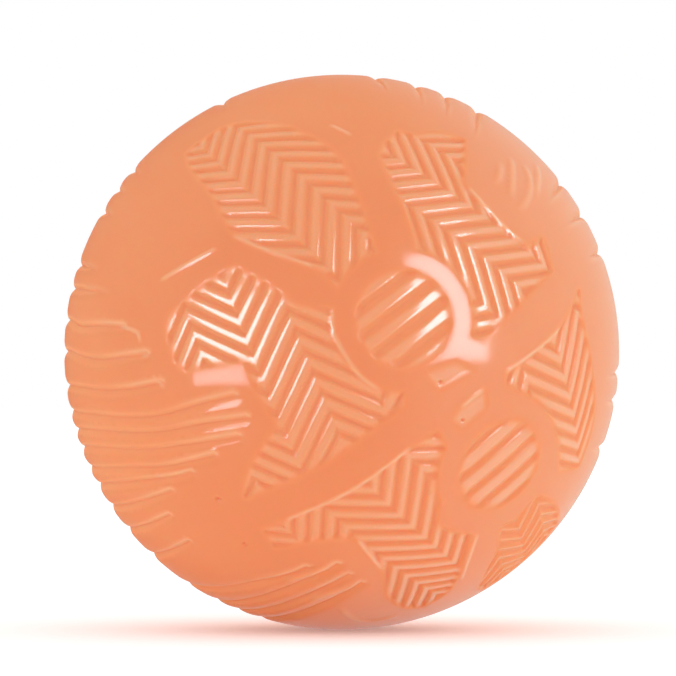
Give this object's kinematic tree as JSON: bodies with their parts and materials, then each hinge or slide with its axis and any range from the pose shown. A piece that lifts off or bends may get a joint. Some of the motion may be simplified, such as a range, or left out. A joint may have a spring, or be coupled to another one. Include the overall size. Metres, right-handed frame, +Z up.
{
  "type": "textured sensory ball",
  "caption": "Soft hollow ball with smooth raised bands, round medallions, herringbone panels and scalloped ribs, and a plugged air valve; for gripping, squeezing, rolling and catching.",
  "frame": {"origin": "centre of the ball", "axes": "+Z up, -Y towards the patterned face that the picture shows; the halves meet in the plane Y = 0"},
  "size_m": [0.0756, 0.076, 0.076],
  "materials": {
    "skin": "semi-gloss soft rubber, coral orange",
    "valve": "satin soft rubber, paler peach"
  },
  "bodies": {
    "ball": {"front_shell": "skin", "rear_shell": "skin", "valve_sleeve": "valve"},
    "plug": {"valve_plug": "valve"}
  },
  "joints": [
    {"name": "plug_pull", "type": "slide", "parent": "ball", "child": "plug", "axis": [0.2159, 0.9695, 0.1157], "range_m": [0, 0.014]}
  ]
}
